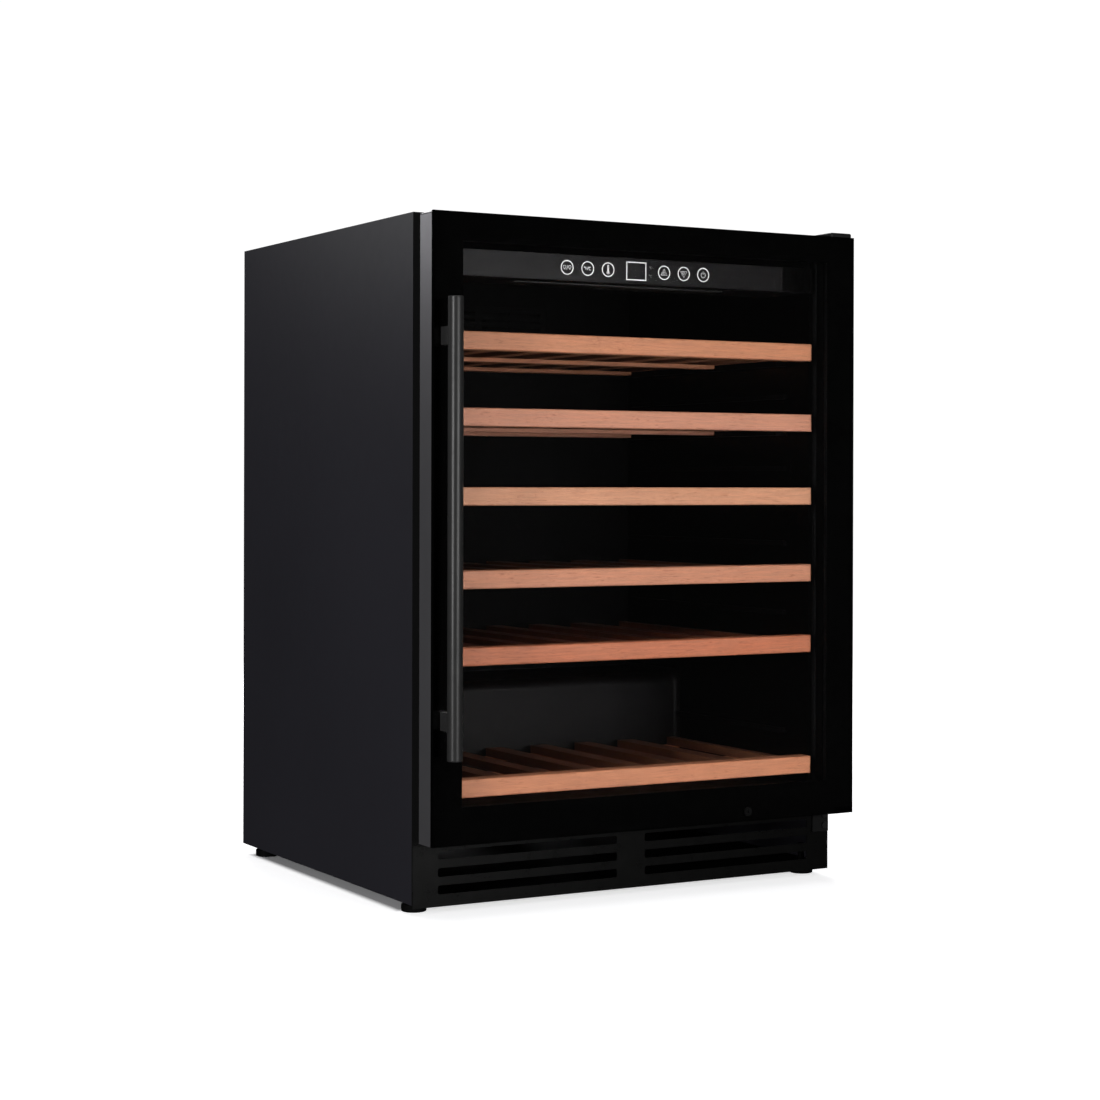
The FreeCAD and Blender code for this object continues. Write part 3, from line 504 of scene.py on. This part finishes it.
def finish_cabinet():
    give(cabinet_paint("black_paint", 0.44, 0.3), "side_panel_left", "side_panel_right")
    give(cabinet_paint("matt_black_paint", 0.8, 0.08), "top_panel")
    give(galvanised("zinc_sheet"), "rear_panel")
    give(painted("frame_paint", (0.0016, 0.0016, 0.0016), 0.55, gloss=0.06),
         "front_frame", "lower_deck", "base_plate")
    give(plastic("black_plastic", (0.010, 0.010, 0.0105), 0.48),
         "rear_grille", "condenser_fan_housing", "condenser_fan_impeller", "drip_tray", "power_inlet",
         "hinge_bushes")
    give(plastic("dark_plastic", (0.0025, 0.0025, 0.0026), 0.45, gloss=0.2),
         "hinge_cover", "control_housing")
    give(foam("foam"), "foam_insulation")
    give(liner_plastic(), "inner_liner")
    give(plastic("guide_plastic", (0.0018, 0.0014, 0.0016), 0.55, LINER_STIPPLE, 0.08 * MM, gloss=0.06),
         "shelf_guides")
    # Evaporator cover and fan are darker than the liner: painted shade at the back of the cabinet.
    give(plastic("air_cover_plastic", (0.0014, 0.0012, 0.0013), 0.55, LINER_STIPPLE, 0.08 * MM, gloss=0.06),
         "evaporator_cover", "evaporator_fan_housing", "evaporator_fan_impeller")
    give(painted("kick_plate_paint", (0.0010, 0.0010, 0.0009), 0.28, 1100, 0.03 * MM, gloss=0.2),
         "kick_plate")
    give(painted("black_coated_steel", (0.003, 0.003, 0.003), 0.4, gloss=0.15),
         "hinge_bracket_top", "hinge_bracket_bottom")
    give(bright_metal("black_screws", (0.03, 0.03, 0.03), 0.38), "cabinet_screws")
    give(rubber("rubber"), "compressor_grommets")
    give(plastic("foot_plastic", (0.0015, 0.0015, 0.0015), 0.7, gloss=0.05),
         "foot_front_left", "foot_front_right", "foot_rear_left", "foot_rear_right")


def finish_machinery():
    give(finned("evaporator_fins", "X", 400), "evaporator")
    give(finned("condenser_fins", "Y", 400), "condenser")
    give(painted("compressor_paint", (0.006, 0.006, 0.006), 0.22, 300, 0.1 * MM), "compressor")
    give(bright_metal("copper", (0.78, 0.36, 0.20), 0.3), "refrigerant_lines")
    give(circuit("circuit_board"), "control_board")


def finish_controls():
    fascia = Look("fascia", (0.0030, 0.0022, 0.0026), 0.26)
    fascia.tones(fascia.noise(12), (0.0027, 0.0020, 0.0023), (0.0033, 0.0024, 0.0029))
    fascia.sheen(fascia.noise(40), 0.25, 0.27)
    fascia.relief(fascia.noise(900), 0.01 * MM)
    give(fascia, "control_fascia")
    give(plastic("display_window", (0.004, 0.003, 0.005), 0.2), "display_module")
    give(bright_metal("sensor_pads", (0.3, 0.25, 0.2), 0.4), "touch_sensors")
    lens = Look("light_lens", (0.03, 0.03, 0.03), 0.35)
    lens.tones(lens.lines(300, "X"), (0.02, 0.02, 0.02), (0.04, 0.04, 0.04))
    lens.relief(lens.lines(300, "X"), 0.2 * MM)
    give(lens, "light_bar")


def door_frame_finish():
    """Anodised aluminium on the door's outer edges, black inside them."""
    look = painted("door_frame_metal", (0.205, 0.202, 0.216), 0.36, 1200, 0.04 * MM, metallic=0.8)
    low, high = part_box("door_frame")
    middle, reach = (low + high) / 2, (high - low) / 2
    centred = look.add("ShaderNodeMapping")
    centred.inputs["Location"].default_value = (-middle.x / reach.x, 0, -middle.z / reach.z)
    centred.inputs["Scale"].default_value = (1 / reach.x, 1, 1 / reach.z)
    look.join(look.place.outputs["Object"], centred.inputs["Vector"])
    split = look.add("ShaderNodeSeparateXYZ")
    look.join(centred.outputs[0], split.inputs[0])
    sides = [look.maths("ABSOLUTE", split.outputs[axis]) for axis in ("X", "Z")]
    edge = look.ranged(look.maths("MAXIMUM", *sides), 0.0, 1.0, 0.994, 0.997)
    metal = look.shader.inputs["Base Color"].links[0].from_socket
    look.join(look.blend(edge, (0.0012, 0.0012, 0.0012), metal), look.shader.inputs["Base Color"])
    return look


def finish_door():
    give(glass("outer_glass", (0.80, 0.80, 0.80)), "door_glass_outer")
    give(glass("inner_glass", (0.95, 0.95, 0.95)), "door_glass_inner")
    give(door_frame_finish(), "door_frame")
    give(bright_metal("spacer_metal", (0.02, 0.02, 0.02), 0.4, (1, 1, 0.1)), "glazing_spacer")
    give(satin_bar("handle_lacquer", (0.019, 0.019, 0.019)), "handle_bar", "handle_posts")
    give(bright_metal("lock_metal", (0.008, 0.008, 0.008), 0.45), "lock_housing", "lock_cylinder")


# Each board's beech tone, set to how bright it looks: partly its own tone, partly painted light, the third
# board lightest and the fifth darkest.
SHELF_TONES_AND_LIGHT = {1: (0.525, 0.218, 0.112), 2: (0.535, 0.240, 0.150), 3: (0.570, 0.272, 0.155),
               4: (0.545, 0.236, 0.138), 5: (0.490, 0.162, 0.080), 6: (0.555, 0.224, 0.116)}
# How dark the slats are against their board: painted shade inside the cabinet.
SLAT_PAINTED_SHADE = 0.3
SLAT_DEPTH = 10.4 * MM


def finish_shelves():
    for number, colour in SHELF_TONES_AND_LIGHT.items():
        rack_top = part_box(f"shelf_{number}_rack")[1].z
        give(beech(f"beech_board_{number}", colour), f"shelf_{number}_front")
        rack = beech_rack(f"beech_rack_{number}", colour, SLAT_PAINTED_SHADE, rack_top - SLAT_DEPTH)
        give(rack, f"shelf_{number}_rack")


# ---------------------------------------------------------------- pieces

PRINT_LIFT = 0.05 * MM


def new_piece(name, mesh, look, body):
    """Adds a made mesh as a piece that rides on a body."""
    mesh.materials.append(look.material)
    piece = bpy.data.objects.new(name, mesh)
    bpy.context.scene.collection.objects.link(piece)
    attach(piece, body)
    return piece


def mesh_of(name, points, faces):
    mesh = bpy.data.meshes.new(name)
    mesh.from_pydata(points, [], faces)
    mesh.update()
    return mesh


def door_border():
    """The black print on the back of the outer glass, round the window, and on the pane's ground edges."""
    low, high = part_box("door_glass_outer")
    skin = PRINT_LIFT
    side, top, bottom = 39.5 * MM, 33 * MM, 43 * MM
    outer = corners(low.x - skin, high.x + skin, low.z - skin, high.z + skin)
    inner = corners(low.x + side, high.x - side, low.z + bottom, high.z - top)
    back, front = high.y + skin, low.y - skin
    points = [(x, back, z) for x, z in outer + inner] + [(x, low.y + 0.25 * MM, z) for x, z in outer]
    for lip in (0.25 * MM, 0.7 * MM):
        rim = corners(low.x + lip, high.x - lip, low.z + lip, high.z - lip)
        points += [(x, front, z) for x, z in rim]
    faces = []
    for ring, beyond in ((0, 4), (0, 8), (8, 12), (12, 16)):
        faces += [(ring + i, ring + (i + 1) % 4, beyond + (i + 1) % 4, beyond + i) for i in range(4)]
    look = Look("printed_border", (0.0008, 0.0008, 0.0008), 0.35)
    look.tones(look.noise(50), (0.0006, 0.0006, 0.0006), (0.001, 0.001, 0.001))
    look.shader.inputs["Specular IOR Level"].default_value = 0.0
    look.relief(look.noise(1500), 0.01 * MM)
    new_piece("door_border_print", mesh_of("door_border_print", points, faces), look, "door")


def corners(left, right, bottom, top):
    return [(left, bottom), (right, bottom), (right, top), (left, top)]


def ribbon(points, width, closed=False):
    """Flat strip of the given width along a line of (x, z) points: its corner points and faces."""
    count = len(points)
    sides = []
    for i, (x, z) in enumerate(points):
        before = points[(i - 1) % count] if closed or i > 0 else points[i]
        after = points[(i + 1) % count] if closed or i < count - 1 else points[i]
        dx, dz = after[0] - before[0], after[1] - before[1]
        size = math.hypot(dx, dz)
        across = (-dz / size * width / 2, dx / size * width / 2)
        sides.append((x + across[0], z + across[1]))
        sides.append((x - across[0], z - across[1]))
    last = count if closed else count - 1
    faces = []
    for i in range(last):
        j = (i + 1) % count
        faces.append((2 * i, 2 * i + 1, 2 * j + 1, 2 * j))
    return sides, faces


def arc(cx, cz, radius, start=0, end=360, steps=40):
    """Points along a circle's arc, angles in degrees from +X towards +Z."""
    angles = [math.radians(start + (end - start) * i / steps) for i in range(steps + 1)]
    return [(cx + radius * math.cos(a), cz + radius * math.sin(a)) for a in angles]


def moved(points, dx, dz):
    return [(x + dx, z + dz) for x, z in points]


def symbol_lamps():
    """Two small lamps with a slash between them: light on or off."""
    marks = [[(-0.8, -2.8), (0.8, 2.8)]]
    for x in (-3.6, 3.6):
        marks += [moved(arc(0, 0.7, 1.8, -50, 230, 20), x, 0), [(x - 1.1, -1.0), (x + 1.1, -1.0)],
                  [(x - 0.8, -2.0), (x + 0.8, -2.0)]]
    return marks


def symbol_units():
    letter_f = [(-1.6, -1.6), (-1.6, 1.6), (0.1, 1.6)]
    letter_f_bar = [(-1.6, 0.1), (-0.2, 0.1)]
    letter_c = arc(3.3, 0, 1.7, 50, 310, 20)
    return [moved(letter_f, -1.4, 0), moved(letter_f_bar, -1.4, 0), arc(-4.6, 1.6, 0.5, steps=12),
            [(-0.8, -2.0), (0.5, 2.0)], letter_c, arc(1.4, 1.6, 0.4, steps=12)]


def symbol_thermometer():
    stem = [(-0.8, -2.0), (-0.8, 4.6)] + arc(0, 4.6, 0.8, 180, 0, 8) + [(0.8, 4.6), (0.8, -2.0)]
    return [stem, arc(0, -3.4, 1.7, 120, 420, 24), [(0, -3.4), (0, 2.6)], arc(0, -3.4, 0.6, steps=12)]


def symbol_triangle(direction):
    tip = [(-4.6, -3.0), (0, 4.6), (4.6, -3.0), (-4.6, -3.0)]
    inner = [(-1.9, -1.5), (0, 1.7), (1.9, -1.5), (-1.9, -1.5)]
    return [[(x, z * direction) for x, z in tip], [(x, z * direction) for x, z in inner]]


def symbol_power():
    return [arc(0, -0.3, 3.1, 120, 420, 30), [(0, 0.4), (0, 4.0)]]


def control_symbols():
    """The white rings and signs printed on the control fascia, and the outline of the display."""
    low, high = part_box("control_fascia")
    display_low, display_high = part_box("display_module")
    cx, cz = (display_low.x + display_high.x) / 2 - 2 * MM, (display_low.z + display_high.z) / 2
    y = low.y - PRINT_LIFT
    first, pitch = 40.0, 28.6
    signs = {-first - 2 * pitch: symbol_lamps(), -first - pitch: symbol_units(),
             -first: symbol_thermometer(), first: symbol_triangle(1),
             first + pitch: symbol_triangle(-1), first + 2 * pitch: symbol_power()}
    ring_radius, bold, fine = 8.2, 1.15, 0.55
    strokes = []
    for x, sign in signs.items():
        strokes.append((moved(arc(0, 0, ring_radius), x, 0), bold))
        strokes += [(moved(line, x, 0), fine) for line in sign]
    half_wide, half_tall = 13.6, 10.6
    past_corner = half_tall + bold / 2
    for z in (-half_tall, half_tall):
        strokes.append(([(-half_wide, z), (half_wide, z)], bold))
    for x in (-half_wide, half_wide):
        strokes.append(([(x, -past_corner), (x, past_corner)], bold))
    # The white print glows: painted light.
    print_strokes("control_symbols", strokes, cx, cz, y, ink("white_ink", (0.95, 0.95, 0.95), 0.35))
    faint = []
    for z in (5.2, -5.2):
        faint.append((moved(arc(0, 0, 0.5, steps=12), 18.6, z + 1.3), 0.4))
        faint.append((moved(arc(0, 0, 1.3, 50, 310, 16), 21.2, z), 0.5))
    print_strokes("unit_marks", faint, cx, cz, y, ink("grey_ink", (0.16, 0.16, 0.16), 0.0))


def fascia_window():
    """A glossy near-black patch at the right end of the fascia, with a thin outline."""
    low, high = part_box("control_fascia")
    y = low.y - PRINT_LIFT
    left, right = high.x - 45 * MM, high.x - 1 * MM
    bottom, top = low.z + 0.9 * MM, high.z - 0.9 * MM
    path = [(left, bottom), (right - 3 * MM, bottom), (right, bottom + 3 * MM), (right, top - 3 * MM),
            (right - 3 * MM, top), (left, top)]
    gloss = Look("window_gloss", (0.0012, 0.0012, 0.0012), 0.08)
    gloss.tones(gloss.noise(30), (0.0010, 0.0010, 0.0010), (0.0014, 0.0014, 0.0014))
    gloss.relief(gloss.noise(200), 0.01 * MM, 0.1)
    mesh = mesh_of("fascia_window", [(x, y, z) for x, z in path], [tuple(range(len(path)))])
    new_piece("fascia_window", mesh, gloss, "cabinet")
    edge = [((x - left) / MM, (z - bottom) / MM) for x, z in path[1:5]]
    print_strokes("fascia_window_outline", [(edge, 0.5)], left, bottom, y - 0.03 * MM,
                  ink("outline_ink", (0.012, 0.012, 0.012), 0.0))


def print_strokes(name, strokes, cx, cz, y, look):
    points, faces = [], []
    for line, width in strokes:
        sides, quads = ribbon(line, width)
        start = len(points)
        points += [(cx + x * MM, y, cz + z * MM) for x, z in sides]
        faces += [tuple(start + i for i in quad) for quad in quads]
    new_piece(name, mesh_of(name, points, faces), look, "cabinet")


def rounded_path(low, high, radius, steps=6):
    """Points round a rectangle with rounded corners, and the outward direction at each."""
    path = []
    turns = ((high[0], high[1], 0), (low[0], high[1], 90), (low[0], low[1], 180), (high[0], low[1], 270))
    for x, z, start in turns:
        cx = x - radius if x == high[0] else x + radius
        cz = z - radius if z == high[1] else z + radius
        for i in range(steps + 1):
            a = math.radians(start + 90 * i / steps)
            out = (math.cos(a), math.sin(a))
            path.append(((cx + radius * out[0], cz + radius * out[1]), out))
    return path


# Millimetres across the strip and away from the door: the foot, the two folds and the chamber.
GASKET_PROFILE = ((0.0, 0.0), (0.0, 1.6), (3.6, 2.2), (4.4, 3.4), (2.2, 5.2), (1.2, 7.2), (2.6, 9.2),
                  (0.8, 10.6), (0.2, 12.4), (0.2, 16.6), (0.8, 17.4), (12.8, 17.4), (13.6, 16.6),
                  (13.6, 12.4), (12.8, 11.2), (10.8, 9.4), (12.4, 7.2), (11.4, 5.2), (9.2, 3.4), (9.8, 2.2),
                  (13.8, 1.6), (13.8, 0.0), (9.6, 0.0), (4.4, 0.0))


def door_gasket():
    """The bellows seal round the back of the door: dart, two folds and the magnet chamber."""
    low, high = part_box("door_gasket")
    width = 14 * MM
    inner_low, inner_high = (low.x + width, low.z + width), (high.x - width, high.z - width)
    path = rounded_path(inner_low, inner_high, 1.0 * MM)
    points = []
    for (x, z), out in path:
        for across, away in GASKET_PROFILE:
            beyond = across * MM
            points.append((x + out[0] * beyond, low.y + (0.2 + away) * MM, z + out[1] * beyond))
    count, around = len(GASKET_PROFILE), len(path)
    faces = []
    for i in range(around):
        j = (i + 1) % around
        for k in range(count):
            m = (k + 1) % count
            faces.append((i * count + k, j * count + k, j * count + m, i * count + m))
    mesh = mesh_of("door_gasket_bellows", points, faces)
    look = rubber("gasket_rubber", (0.0025, 0.0025, 0.0028))
    piece = new_piece("door_gasket_bellows", mesh, look, "door")
    tidy_normals(mesh)
    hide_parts("door_gasket")


def tidy_normals(mesh):
    work = bmesh.new()
    work.from_mesh(mesh)
    bmesh.ops.recalc_face_normals(work, faces=work.faces)
    work.to_mesh(mesh)
    work.free()


make_studio()
finish_cabinet()
finish_machinery()
finish_controls()
finish_door()
finish_shelves()
door_border()
control_symbols()
fascia_window()
door_gasket()
